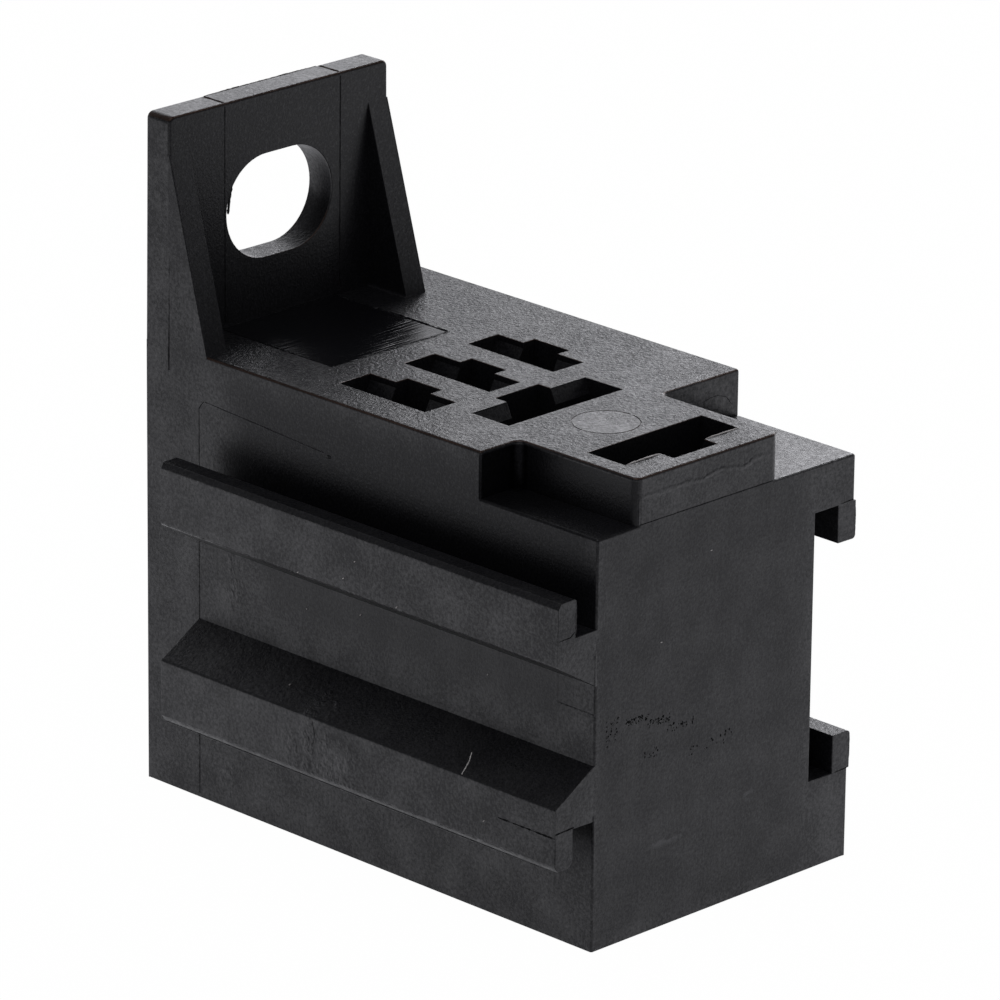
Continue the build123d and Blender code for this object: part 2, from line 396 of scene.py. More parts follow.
# %% Masks of places
SEAT_TOP = 39.2
TAB_TOP = 58.7
TAB_FRONT = 49.7
SHOULDER = 35.25                     # height of the two ledges beside the nose
PATCH = (5.9, 19.2, 36.3, 49.7)      # smooth face of a mould insert on the seat: x and y from, to
DISC = (12.45, 11.3, 2.8)            # round mark on the nose: x, y and radius
ZONES = {      # name: ranges of x, y and z, and how softly they end. None is no bound.
    "high_fold": (None, (41.0, 42.6), (17.4, 22.4), 1.2),
    "low_fold": (None, (41.8, 43.0), (1.2, 4.2), 1.0),
    "rail_fold": (None, (22.5, 31.0), (8.0, 11.8), 1.6),
    "slope_fold": (None, (26.4, 28.8), (10.6, 15.0), 1.0),
    "rail_drag": (None, (2.0, 13.0), (26.4, 30.0), 2.0),
    "front_sink": ((2.0, 16.0), None, (14.0, 19.5), 2.0),
    "insert_face": (PATCH[:2], PATCH[2:], None, 0.04),
    "tab_front": ((0.1, 25.8), (36.0, TAB_FRONT + 0.1), (SEAT_TOP + 0.1, TAB_TOP - 0.1), 0.05),
    "gusset_roots": ((0.4, 25.5), (36.0, 49.9), (SEAT_TOP - 0.3, SEAT_TOP + 3.0), 0.05),
    "screw_hole": ((0.5, 25.5), (49.85, 52.4), (40.0, 58.3), 0.05),
    "slots": ((0.4, 25.4), (0.4, 36.0), (30.0, SEAT_TOP - 0.08), 0.02),
    "notch": ((-0.1, 4.6), (0.1, 13.3), (SHOULDER - 0.1, SEAT_TOP - 0.3), 0.05),
    "notch_corner": ((3.3, 4.6), (12.1, 13.3), None, 0.15),
    "above_rail": (None, (0.5, 42.0), (29.0, 38.0), 2.0),
    "below_rail": (None, (3.0, 38.0), (19.0, 24.5), 2.0),
    "front_middle": ((0.5, 24.5), None, (1.0, SHOULDER - 0.1), 0.4),
    "long_scuff": ((6.8, 10.8), None, (7.1, 7.9), 0.4),
    "short_scuff": ((17.6, 18.9), None, (8.1, 8.9), 0.3),
}


def zone(name):
    """Mask of one zone of the table."""
    x_range, y_range, z_range, soft = ZONES[name]
    mask = 1.0
    for value, bounds in ((x, x_range), (y, y_range), (z, z_range)):
        if bounds:
            mask = value.between(bounds[0], bounds[1], soft) * mask
    return mask


on_seat = z.between(SEAT_TOP - 0.15, SEAT_TOP + 0.15, 0.05)
on_front = y.ramp(0.2, 0.05)
on_left_wall = x.between(-0.1, 0.1, 0.05)
on_rail_face = x.ramp(-4.1, -4.2)
patch = zone("insert_face") * on_seat
from_disc = ((x - DISC[0]) * (x - DISC[0]) + (y - DISC[1]) * (y - DISC[1])).math("SQRT")
disc = from_disc.ramp(DISC[2], DISC[2] - 0.1) * on_seat
print("zones:", len(ZONES))

# %% [markdown]
# The insert's face on the seat is smooth and drawn out in streaks, the round mark is mottled, and where
# the plastic folded as it filled the mould it left wrinkles. The upper rail was dragged as it left the
# mould, the front sank a little over the thick plastic behind it, and a faint wave runs along the nose.
# All these are heights, so they are added up in millimetres, and one Bump node shades them.

# %% Relief by place
STREAK_DEPTH = 0.05       # all depths are in millimetres
MOTTLE_DEPTH = 0.05
FOLD_DEPTH = 0.16
DRAG_DEPTH = 0.04
WAVE_DEPTH = 0.05
SINK_DEPTH = 0.1
STEP_DEPTH = 0.06         # faint step where the front block of the mould ended on the left wall
WAVE_HEIGHT = 37.5        # of the wave's middle line on the nose
WAVE_SWING = 1.6
WAVE_WIDTH = 0.3

mottle = noise(plastic, drawn, 0.9, 2.0)
streaks = noise(plastic, drawn, 4.0, 3.0, (0.04, 1, 1))
wrinkles = noise(plastic, drawn, 2.0, 3.0, (1, 1, 0.7))
drag = noise(plastic, drawn, 3.0, 2.0, (1, 0.02, 1))
loose = noise(plastic, drawn, 0.5, 3.0).ramp(0.4, 0.6)

folds = on_left_wall * zone("high_fold")
folds = folds + on_left_wall * zone("low_fold")
folds = folds + on_rail_face * zone("rail_fold")
folds = folds + x.ramp(-1.5, -2.0) * zone("slope_fold")
dragged = on_rail_face * zone("rail_drag")
wave_line = (noise(plastic, drawn, 0.4, 3.0) - 0.5) * WAVE_SWING
wave = (z - WAVE_HEIGHT - wave_line).size().ramp(WAVE_WIDTH, 0.0)
nose_wave = wave * on_front * x.between(5.2, 19.8, 0.6)
sink = on_front * zone("front_sink")
core_step = on_left_wall * y.ramp(4.2, 4.05) * z.between(20.4, 25.4, 0.1)

relief = all_grain * (1.0 - patch * 0.9 - disc * 0.5)
relief = relief + patch * streaks * STREAK_DEPTH
relief = relief + disc * mottle * MOTTLE_DEPTH
relief = relief + folds * (loose + 0.4) * wrinkles * FOLD_DEPTH
relief = relief + dragged * loose * drag * DRAG_DEPTH
relief = relief + nose_wave * WAVE_DEPTH
relief = relief + sink * noise(plastic, drawn, 0.6, 3.0) * SINK_DEPTH
relief = relief + core_step * STEP_DEPTH
bump_inputs = {"Strength": 1.0, "Distance": MM, "Height": relief}
bump = plastic.add("ShaderNodeBump", None, bump_inputs, output="Normal")
print("nodes so far:", len(black_plastic.node_tree.nodes))

# %% [markdown]
# Gloss varies as well. The insert's face is smooth and dull, so the skin is taken off it. Elsewhere the
# skin stands in for light and shade. It is taken off as painted shade round the tab, on the rails' slopes,
# in the notch, above and below the upper rail and in the middle of the front. It is added as painted light
# on the tab's top, the low ledge, the rails towards the back, and the front beside and above its middle. A
# little of the speckle comes back on three of the shaded ones, because the real ones glitter faintly.

# %% Skin and roughness by place
INSERT_POLISH = 0.18      # how much smoother the insert's face is
DISC_POLISH = 0.4
LEDGE_CHAFING = 0.1       # how much rougher the tab's top and the low ledge are
GLITTER = 1.3             # weight of the speckle on three dull places

on_tab_top = z.ramp(TAB_TOP - 0.15, TAB_TOP - 0.05) * level
on_low_ledge = z.between(SHOULDER - 0.2, SHOULDER + 0.2, 0.05) * x.ramp(20.0, 20.5) * level
roughness = roughness - patch * INSERT_POLISH + disc * (mottle - 0.6) * DISC_POLISH
roughness = roughness + (on_tab_top + on_low_ledge) * LEDGE_CHAFING

round_the_tab = zone("tab_front")
on_slope = slant.between(0.3, 0.8, 0.05) * x.ramp(-0.1, -0.2)
in_notch = zone("notch")
above_rail = on_left_wall * zone("above_rail") * 0.8
below_rail = on_left_wall * zone("below_rail") * 0.6
front_middle = on_front * zone("front_middle") * 0.4
# Where skin comes off: painted shade in sheltered places, and the insert's face, which is really smoother.
insert_and_painted_shade = (round_the_tab + on_slope + in_notch + patch + above_rail + below_rail + front_middle).least(1.0)
# Skin added on the tab's top and the low ledge is painted light. The disc's mottled skin is its own.
skin = skin * (1.0 - insert_and_painted_shade) + on_tab_top * 0.8 + on_low_ledge * 0.55 + disc * (mottle - 0.2) * 0.9
# More painted light: skin added on the rails towards the back and on the front beside and above its middle.
painted_light = on_rail_face * y.ramp(22.0, 44.0) * 0.12
painted_light = painted_light + on_front * (x.ramp(21.0, 25.0) + z.ramp(SHOULDER, SHOULDER + 0.2)) * 0.08
skin = skin + painted_light
skin = skin + (round_the_tab + above_rail + on_slope) * (1.0 - patch) * (speckle - 0.5).most(0.0) * GLITTER
print("nodes so far:", len(black_plastic.node_tree.nodes))

# %% [markdown]
# Sheltered places look black on the real part: the notch, the gap behind the lower rail, the top of the
# lower lip, the wall of the screw hole, the back of the seat, patches under the lower rail and the wall
# above the upper one. That darkness is shade, and here it is painted in. A black dielectric still mirrors a
# few percent of a white room there. A metal of the same near-black colour hardly mirrors anything, so these
# places are partly metallic and have less skin. The upper edges get some of that painted shade too, so that
# they stay darker than the faces. Such an edge is where the surface faces neither up nor sideways, which the
# third part of its normal tells.

# %% Painted shade in sheltered places and on upper edges
gusset_root = zone("gusset_roots")
in_hole = zone("screw_hole")
in_slots = zone("slots")
upper_edge = slant.between(0.45, 0.93, 0.06) * z.ramp(38.0, 38.4) * (1.0 - gusset_root) * (1.0 - in_hole)
upper_edge = upper_edge * (1.0 - in_slots)
notch_shade = in_notch * (0.05 + y.ramp(2.0, 11.5) * 0.45)
notch_shade = notch_shade + in_notch * zone("notch_corner") * 0.3
rail_gap_shade = on_left_wall * z.ramp(4.5, 11.0) * z.ramp(11.9, 11.7) * y.ramp(6.0, 3.0) * 0.75
lip_top_shade = slant.ramp(0.4, 0.7) * z.between(11.1, 11.5, 0.05) * x.ramp(25.0, 26.0) * 0.85
hole_shade = in_hole * y.ramp(52.4, 50.2) * x.ramp(12.0, 16.5) * 0.9
seat_shade = on_seat * level * y.ramp(38.0, 46.0) * 0.2
under_rail_shade = on_rail_face * slant.ramp(-0.2, -0.5) * z.ramp(12.0, 11.0)
under_rail_shade = under_rail_shade * noise(plastic, drawn, 0.9, 3.0).ramp(0.58, 0.42) * 0.8
# All of these are painted shade: the plastic is made partly metallic there and loses skin.
shade = notch_shade + rail_gap_shade + lip_top_shade + hole_shade + under_rail_shade + seat_shade + above_rail * 0.35
shade = shade.least(1.0)
print("nodes so far:", len(black_plastic.node_tree.nodes))

# %% [markdown]
# Last comes the colour. Fine pale glass in the resin flecks it, the upper edges are tinted a warm grey
# brown, and two small scuffs on the front are lighter. Each is one colour mixed over the last by its own
# mask. In the shader, Metallic and less skin then paint the shade of the sheltered places and upper edges.

# %% The finish put together
PLASTIC_COLOUR = (0.0026, 0.0026, 0.0033, 1.0)
FLECK_COLOUR = (0.009, 0.009, 0.0105, 1.0)
EDGE_BROWN = (0.055, 0.03, 0.02, 1.0)
SCUFF_COLOUR = (0.06, 0.06, 0.063, 1.0)
SCUFF_WEIGHT = 0.7
EDGE_BROWN_WEIGHT = 0.8
EDGE_METAL = 0.5          # how metallic an upper edge is

fleck = noise(plastic, drawn, 6.0, 2.0)
flecked = (fleck - 0.28).ramp(0.0, 0.5) * (1.0 - patch * 0.7)
# The upper edges get a warm grey brown tint, in clouds.
brown_edge = upper_edge * (0.5 + (cloud - 0.35) * 1.6).least(1.0).most(0.0)
scuffed = zone("long_scuff") + zone("short_scuff")
scuffed = on_front * scuffed * noise(plastic, drawn, 1.2, 3.0, (0.6, 1, 1)).ramp(0.46, 0.6)
colour = plastic.mix_colours(flecked, PLASTIC_COLOUR, FLECK_COLOUR)
colour = plastic.mix_colours(scuffed * SCUFF_WEIGHT, colour, SCUFF_COLOUR)
colour = plastic.mix_colours(brown_edge * EDGE_BROWN_WEIGHT, colour, EDGE_BROWN)
plastic_shader = plastic.add("ShaderNodeBsdfPrincipled", None, {
    "Base Color": colour,
    "Roughness": roughness,
    "Specular IOR Level": SPECULAR_LEVEL,
    # Metallic on the upper edges and in sheltered places is painted shade, and so is the skin taken off
    # there.
    "Metallic": (upper_edge * EDGE_METAL + shade).least(1.0),
    "Coat Weight": skin * (1.0 - upper_edge) * (1.0 - shade),
    "Coat Roughness": PLASTIC_ROUGHNESS,
    "Normal": bump,
})
plastic.add("ShaderNodeOutputMaterial", None, {"Surface": plastic_shader})
print("nodes in black_plastic:", len(black_plastic.node_tree.nodes))

# %% [markdown]
# The marks that a mould leaves are thin lines that wander: grooves where two blocks of steel met, ridges
# of flash where plastic crept between them, and small cracks. They all follow a path, so one Geometry
# Nodes tree makes them. It turns a run of points into a curve, lets noise push the points about, and
# sweeps a small circle along it whose size is ragged as well.

# %% A tree for ragged lines
TUBE_SIDES = 6
SWELL_RANGE = 4.0       # how strongly the noise swells and pinches a tube
SWELL_SEED = 5.0        # keeps the swelling apart from the wandering
THINNEST = 0.08         # a tube is never thinner than this share of its radius
TAPER_SHARE = 6.0       # a tapered tube thins over one in so many parts of its length


def line_tree():
    """Geometry tree that turns runs of edges into thin tubes with a ragged size."""
    tree = bpy.data.node_groups.new("ragged_lines", "GeometryNodeTree")
    sockets = {
        "Runs": "NodeSocketGeometry", "Radius": "NodeSocketFloat", "Raggedness": "NodeSocketFloat",
        "Wander": "NodeSocketFloat", "Fineness": "NodeSocketFloat", "Spacing": "NodeSocketFloat",
        "Taper": "NodeSocketFloat", "Seed": "NodeSocketFloat", "Finish": "NodeSocketMaterial",
    }
    for name, kind in sockets.items():
        tree.interface.new_socket(name=name, in_out="INPUT", socket_type=kind)
    tree.interface.new_socket(name="Lines", in_out="OUTPUT", socket_type="NodeSocketGeometry")
    lines = Recipe(tree)
    seed = lines.given("Seed")
    in_four = {"noise_dimensions": "4D"}
    curve = lines.add("GeometryNodeMeshToCurve", None, {"Mesh": lines.given("Runs")})
    even = {"Curve": curve, "Length": lines.given("Spacing")}
    curve = lines.add("GeometryNodeResampleCurve", {"mode": "LENGTH"}, even)
    place = lines.add("GeometryNodeInputPosition")
    fineness = {"Vector": place, "Scale": lines.given("Fineness"), "Detail": 2.0}
    push = lines.add("ShaderNodeTexNoise", in_four, {**fineness, "W": seed}, output="Color")
    push = lines.add("ShaderNodeVectorMath", {"operation": "SUBTRACT"}, {0: push, 1: (0.5, 0.5, 0.5)})
    how_far = {0: push, "Scale": lines.given("Wander")}
    push = lines.add("ShaderNodeVectorMath", {"operation": "SCALE"}, how_far)
    curve = lines.add("GeometryNodeSetPosition", None, {"Geometry": curve, "Offset": push})
    swell = lines.add("ShaderNodeTexNoise", in_four, {**fineness, "W": seed + SWELL_SEED})
    along = lines.add("GeometryNodeSplineParameter", output="Factor")
    nearest_end = along.least(1.0 - along)
    tapered = 1.0 - lines.given("Taper") * (1.0 - (nearest_end * TAPER_SHARE).least(1.0))
    size = (1.0 + (swell - 0.5) * SWELL_RANGE * lines.given("Raggedness")) * tapered
    circle_inputs = {"Resolution": TUBE_SIDES, "Radius": lines.given("Radius")}
    circle = lines.add("GeometryNodeCurvePrimitiveCircle", None, circle_inputs)
    sweep = {"Curve": curve, "Profile Curve": circle, "Scale": size.most(THINNEST), "Fill Caps": True}
    tube = lines.add("GeometryNodeCurveToMesh", None, sweep)
    tube = lines.add("GeometryNodeSetShadeSmooth", None, {"Geometry": tube, "Shade Smooth": True})
    tube = lines.add("GeometryNodeRealizeInstances", None, {"Geometry": tube})
    tube = lines.add("GeometryNodeSetMaterial", None, {"Geometry": tube, "Material": lines.given("Finish")})
    lines.add("NodeGroupOutput", None, {"Lines": tube})
    return tree


ragged_lines = line_tree()
print("nodes in the tree for lines:", len(ragged_lines.nodes))

# %% [markdown]
# A second function hands the tree a set of runs and takes the result back as one plain mesh. The modifier
# is gone after that, so nothing in the finished piece depends on the tree. An input of the tree is set by
# its identifier.

# %% From runs of points to a plain mesh
def ragged(name, runs, finish, radius, raggedness, wander, fineness, spacing, taper, seed):
    """Tubes along runs of drawn points, as one plain mesh. Sizes are in millimetres."""
    mesh = bpy.data.meshes.new(name)
    points = [tuple(at(*point)) for run in runs for point in run]
    edges = []
    first = 0
    for run in runs:
        edges += [(first + step, first + step + 1) for step in range(len(run) - 1)]
        first += len(run)
    mesh.from_pydata(points, edges, [])
    piece = bpy.data.objects.new(name, mesh)
    scene.collection.objects.link(piece)
    grow = piece.modifiers.new("grow", "NODES")
    grow.node_group = ragged_lines
    values = {
        "Radius": radius * MM, "Raggedness": raggedness, "Wander": wander * MM, "Fineness": fineness / MM,
        "Spacing": spacing * MM, "Taper": taper, "Seed": seed, "Finish": finish,
    }
    for item in ragged_lines.interface.items_tree:
        if item.name in values:
            grow[item.identifier] = values[item.name]
    grown = bpy.data.meshes.new_from_object(piece.evaluated_get(bpy.context.evaluated_depsgraph_get()))
    piece.modifiers.remove(grow)
    piece.data = grown
    grown.name = name
    shape = bmesh.new()
    shape.from_mesh(grown)
    bmesh.ops.recalc_face_normals(shape, faces=shape.faces)
    shape.to_mesh(grown)
    shape.free()
    print(name, "has", len(grown.polygons), "faces")
    return piece


print("lines follow drawn points from here on")

# %% [markdown]
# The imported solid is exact, but its mesh is loose triangles with knife-sharp edges. No moulding has those:
# steel can't be cut that sharp, and plastic shrinks back from it. A copy is welded, its flat faces are
# joined up, and a narrow bevel goes on each outer corner. Inner corners stay sharp, since a bevel there
# can hardly be seen and tends to tear. So do strips too narrow for the bevel, parts of a round, and the
# cavities, which nobody sees.

# %% Which edges are corners
WELD = 0.002 * MM
FLAT = math.radians(0.4)
CORNER = math.radians(55)
SOFT_CORNER = math.radians(25)
STRIP = 0.36 * MM          # narrower faces beside a blunt corner are parts of a round
NARROW = 0.13 * MM         # narrower faces beside any corner have no room for the bevel
INSIDE_LOW = at(0.5, 0.5, 0.5)
INSIDE_HIGH = at(24.8, 49.0, 39.0)


def strip_width(face):
    """Width of a long narrow face, from its area and its outline."""
    return 2 * face.calc_area() / sum(edge.calc_length() for edge in face.edges)


def is_inside(point):
    """In the block that holds the cavities."""
    return all(low < value < high for low, value, high in zip(INSIDE_LOW, point, INSIDE_HIGH))


def is_corner(edge):
    """An outer right-angled corner, or a blunter one between two faces too wide to be parts of a round."""
    if len(edge.link_faces) != 2 or not edge.is_convex or all(is_inside(vertex.co) for vertex in edge.verts):
        return False
    bend = edge.calc_face_angle()
    narrowest = min(strip_width(face) for face in edge.link_faces)
    if bend > CORNER:
        return narrowest > NARROW
    return bend > SOFT_CORNER and narrowest > STRIP


print("corners above", round(math.degrees(CORNER)), "degrees are softened")

# %% [markdown]
# Where three roundings of different sizes meet, a bevel can shoot out of the surface as a spike. So the
# bevel is tried first. Each new point that leaves the old surface by more than most of the bevel's own
# size marks the corner next to it, the bevel stops a little short of that corner, and it is tried again
# until no spike is left. On this moulding the first try is clean.

# %% Bevel without spikes
EDGE_ROUND = 0.055 * MM
SPIKE = EDGE_ROUND * 0.75  # a new point further than this from the old surface is one
STOP_SHORT = 0.3 * MM      # how far before a marked corner the bevel ends
STOP_REACH = 0.12 * MM     # points this near to a marked corner count as it
MOST_TRIES = 6


def shortened(shape, edge, stops):
    """The part of an edge that keeps clear of the marked corners, or None."""
    ends = [vertex for vertex in edge.verts if any((vertex.co - stop).length < STOP_REACH for stop in stops)]
    if edge.calc_length() < STOP_SHORT * (len(ends) + 1) and ends:
        return None
    for vertex in ends:
        cut_off = bmesh.utils.edge_split(edge, vertex, STOP_SHORT / edge.calc_length())[0]
        if vertex not in cut_off.verts:
            edge = cut_off
    return edge


def bevelled(base, stops):
    """A copy with its corners softened."""
    shape = base.copy()
    corners = [edge for edge in shape.edges if is_corner(edge)]
    corners = [shortened(shape, edge, stops) for edge in corners]
    corners = [edge for edge in corners if edge]
    bmesh.ops.bevel(
        shape, geom=corners, offset=EDGE_ROUND, offset_type="OFFSET", segments=2, profile=0.5,
        affect="EDGES", clamp_overlap=False,
    )
    return shape


def corner_finder(base):
    """A search tree of the points where corners end."""
    ends = [vertex.co.copy() for vertex in base.verts if any(is_corner(edge) for edge in vertex.link_edges)]
    finder = KDTree(len(ends))
    for number, point in enumerate(ends):
        finder.insert(point, number)
    finder.balance()
    return finder


def soften(base):
    """Bevel the corners, and give up on the ends that would spike."""
    old_surface = BVHTree.FromBMesh(base)
    finder = corner_finder(base)
    stops = []
    for attempt in range(MOST_TRIES):
        shape = bevelled(base, stops)
        spikes = [vertex.co for vertex in shape.verts if old_surface.find_nearest(vertex.co)[3] > SPIKE]
        print("try", attempt + 1, "spikes", len(spikes))
        if not spikes:
            return shape
        stops += [Vector(finder.find(spike)[0]) for spike in spikes]
        shape.free()
    return base.copy()


print("corners are rounded by", EDGE_ROUND / MM, "mm")

# %% [markdown]
# The grooves of the mould are cut into the softened copy with an exact Boolean. A groove catches no light
# and so reads as a fine dark line, as it does on the real part. Their paths are drawn millimetres on the
# faces they run over. Small cracks, most of them at the ends of the rails and lips, are cut in the same
# way.

# %% Grooves left by the mould
SEAM_X = (6.4, 19.6)       # the insert's edges on the tab
BLOCK_Y = 46.0             # edge of the side block of the mould on the left wall
RING_STEPS = 48

tab_seam_runs = [[(seam_x, TAB_FRONT, 39.6), (seam_x, TAB_FRONT, TAB_TOP - 0.3)] for seam_x in SEAM_X]
seam_runs = [
    [(0, BLOCK_Y, 28.5), (0, BLOCK_Y, 34.6), (0, 45.4, SHOULDER + 0.05), (0, 31.1, 34.5)],
    [(4.6, 0, SHOULDER), (20.4, 0, SHOULDER)],
]
block_runs = [
    [(0, BLOCK_Y, 0.4), (0, BLOCK_Y, 11.0)],
    [(0, BLOCK_Y, 14.5), (0, BLOCK_Y, 25.0)],
    [(0, TAB_FRONT - 0.1, 55.2), (0, TAB_FRONT - 0.05, 37.0)],
]
rail_end_runs = [
    [(-4.3, 0, 8.4), (-4.3, 0, 11.1)],
    [(-4.3, 0.0, 11.0), (-4.3, 6.4, 11.0)],
    [(-4.3, 0, 11.35), (-2.2, 0, 11.45)],
]
crack_runs = [
    [(-4.24, 0, 27.7), (-2.9, 0, 27.75), (-2.4, 0, 28.1)],
    [(-4.3, 27.9, 13.1), (-4.3, 27.6, 12.0), (-4.3, 27.9, 10.9)],
    [(28.3, 0, 31.22), (30.1, 0, 31.3)],
    [(28.4, 0, 7.75), (30.0, 0, 7.8)],
]
patch_left, patch_right, patch_front, patch_back = PATCH
patch_runs = [[
    (patch_left, patch_back - 0.4, SEAT_TOP),
    (patch_left, patch_front, SEAT_TOP),
    (patch_right, patch_front, SEAT_TOP),
]]
patch_side_runs = [[(patch_right, patch_front, SEAT_TOP), (patch_right, patch_back - 0.4, SEAT_TOP)]]
arc_runs = [[
    (25.6, 13.1, 37.25), (26.5, 13.1, 37.45), (27.4, 13.1, 37.48), (28.5, 13.1, 37.1), (29.2, 13.1, 36.2),
]]
slit_runs = [[(seam_x, 49.9, TAB_TOP), (seam_x, 52.35, TAB_TOP)] for seam_x in SEAM_X]
disc_x, disc_y, disc_radius = DISC
ring_turns = [math.tau * step / RING_STEPS for step in range(RING_STEPS)]
ring_runs = [[
    (disc_x + disc_radius * math.cos(turned), disc_y + disc_radius * math.sin(turned), SEAT_TOP)
    for turned in ring_turns
]]

groove_kinds = {      # name: runs, radius, raggedness, wander, fineness, spacing, taper, seed
    "tab_seams": (tab_seam_runs, 0.085, 0.4, 0.08, 1.2, 0.2, 0.0, 7.0),
    "seams": (seam_runs, 0.055, 0.3, 0.08, 0.8, 0.25, 0.0, 1.0),
    "block_seams": (block_runs, 0.09, 0.4, 0.06, 0.8, 0.25, 0.0, 10.0),
    "rail_end": (rail_end_runs, 0.08, 0.8, 0.05, 2.0, 0.12, 0.3, 12.0),
    "patch_edge": (patch_runs, 0.09, 0.8, 0.22, 2.2, 0.12, 0.0, 2.0),
    "patch_side": (patch_side_runs, 0.12, 0.9, 0.3, 2.4, 0.12, 0.0, 8.0),
    "arc": (arc_runs, 0.035, 0.3, 0.03, 1.0, 0.15, 0.8, 9.0),
    "slits": (slit_runs, 0.16, 0.25, 0.06, 1.0, 0.15, 0.0, 3.0),
    "ring": (ring_runs, 0.05, 0.25, 0.03, 1.0, 0.15, 0.0, 4.0),
    "cracks": (crack_runs, 0.06, 0.4, 0.08, 1.5, 0.15, 0.6, 5.0),
}
cutters = [ragged(name, runs, black_plastic, *sizes) for name, (runs, *sizes) in groove_kinds.items()]

# %% [markdown]
# Where the plastic froze too early it left pits in the front face, in a few loose clusters. A pit is a
# very short run, so the same tree cuts them. Their places are drawn by chance from a fixed seed, so each
# run of the script gives the same ones.

# %% Pits in the front face
PIT_LENGTH = (0.02, 0.16)      # least and most
PIT_TILT = 0.08                # how far one end may be above the other
PIT_CLUSTERS = (      # middle x and z, half width, half height, how many
    (1.9, 18.4, 0.7, 1.1, 30),
    (4.8, 18.75, 1.3, 0.28, 44),
    (7.2, 18.0, 1.5, 0.32, 50),
    (9.8, 17.0, 1.5, 0.3, 30),
    (6.6, 15.4, 1.0, 0.4, 14),
    (13.4, 14.5, 2.6, 0.6, 24),
)
chance = random.Random(11)
pit_runs = []
for middle_x, middle_z, half_width, half_height, count in PIT_CLUSTERS:
    for number in range(count):
        pit_x = middle_x + chance.uniform(-half_width, half_width)
        pit_z = middle_z + chance.uniform(-half_height, half_height)
        length = chance.uniform(*PIT_LENGTH)
        tilt = chance.uniform(-PIT_TILT, PIT_TILT)
        pit_runs.append([(pit_x, 0, pit_z), (pit_x + length, 0, pit_z + tilt)])
cutters.append(ragged("pits", pit_runs, black_plastic, 0.08, 0.9, 0.05, 3.0, 0.08, 0.0, 6.0))
print("pits:", len(pit_runs))

# %% [markdown]
# An exact Boolean cuts one set of grooves at a time. Where two cutters overlap it can leave a pair of
# faces back to back, with no thickness between them. Such a fin is no plastic, so both of its faces go.

# %% Cutting and cleaning
DEGENERATE = 0.0002 * MM           # edges shorter than this are no edges


def cut_with(piece, cutter):
    """Take a closed shape away from a piece, then delete the shape."""
    cut = piece.modifiers.new("cut", "BOOLEAN")
    cut.operation = "DIFFERENCE"
    cut.solver = "EXACT"
    cut.use_self = True
    cut.object = cutter
    result = bpy.data.meshes.new_from_object(piece.evaluated_get(bpy.context.evaluated_depsgraph_get()))
    piece.modifiers.remove(cut)
    piece.data = result
    bpy.data.objects.remove(cutter)


def drop_fins(shape):
    """Delete both of two faces that share all their corners, because between them is no thickness."""
    shape.verts.index_update()
    same_corners = {}
    for face in shape.faces:
        same_corners.setdefault(frozenset(vertex.index for vertex in face.verts), []).append(face)
    fins = [face for faces in same_corners.values() if len(faces) == 2 for face in faces]
    bmesh.ops.delete(shape, geom=fins, context="FACES")
    return len(fins)


print("cutters:", len(cutters))

# %% [markdown]
# Now the moulding itself is put together: weld, soften, cut, clean, then shade it smooth. Weighted normals
# keep large faces flat right up to the narrow bevels. Edges steeper than the bevel's own are marked sharp,
# so the walls of the grooves stay crisp. The last line it prints tells that the mesh is closed and needed
# no mending.

# %% The moulding
SHARP = math.radians(50)
BROAD_SHARP = math.radians(24)     # next to a broad face, so that it stays flat in the mirror image
BROAD = 1.0 * MM * MM


def stays_smooth(edge):
    """Whether the shading runs on over an edge."""
    if not edge.is_manifold:
        return False
    broad = max(face.calc_area() for face in edge.link_faces) > BROAD
    return edge.calc_face_angle() < (BROAD_SHARP if broad else SHARP)


def make_moulding():
    """The visible housing: a welded copy of the solid with softened corners and the mould's grooves."""
    base = bmesh.new()
    base.from_mesh(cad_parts["housing"].data)
    bmesh.ops.remove_doubles(base, verts=base.verts, dist=WELD)
    bmesh.ops.dissolve_limit(base, angle_limit=FLAT, verts=base.verts, edges=base.edges)
    softened = soften(base)
    mesh = bpy.data.meshes.new("moulding")
    mesh.materials.append(black_plastic)
    softened.to_mesh(mesh)
    softened.free()
    base.free()
    piece = bpy.data.objects.new("moulding", mesh)
    scene.collection.objects.link(piece)
    for cutter in cutters:
        cut_with(piece, cutter)
    shape = bmesh.new()
    shape.from_mesh(piece.data)
    bmesh.ops.dissolve_degenerate(shape, dist=DEGENERATE, edges=shape.edges)
    print("faces of fins deleted:", drop_fins(shape))
    for face in shape.faces:
        face.smooth = True
    for edge in shape.edges:
        edge.smooth = stays_smooth(edge)
    open_edges = sum(1 for edge in shape.edges if not edge.is_manifold)
    shape.to_mesh(piece.data)
    shape.free()
    mended = piece.data.validate()
    print("faces:", len(piece.data.polygons), "open edges:", open_edges, "mended:", mended)
    shading = piece.modifiers.new("even_shading", "WEIGHTED_NORMAL")
    shading.keep_sharp = True
    shading.weight = 100
    return piece


moulding = make_moulding()
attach(moulding, "root")
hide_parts("housing")

# %% [markdown]
# Bent or scraped plastic turns pale like chalk. That is a second finish: noise between two greys, rough
# all over, and no skin. It goes on the scratches and the dust, and on the thinnest flash, where its paleness
# is a painted highlight that stands in for the glint along the flash's top.

# %% Pale plastic
PALE_DARK = (0.1, 0.095, 0.09, 1.0)
PALE_LIGHT = (0.65, 0.62, 0.6, 1.0)
PALE_ROUGHNESS = 0.6

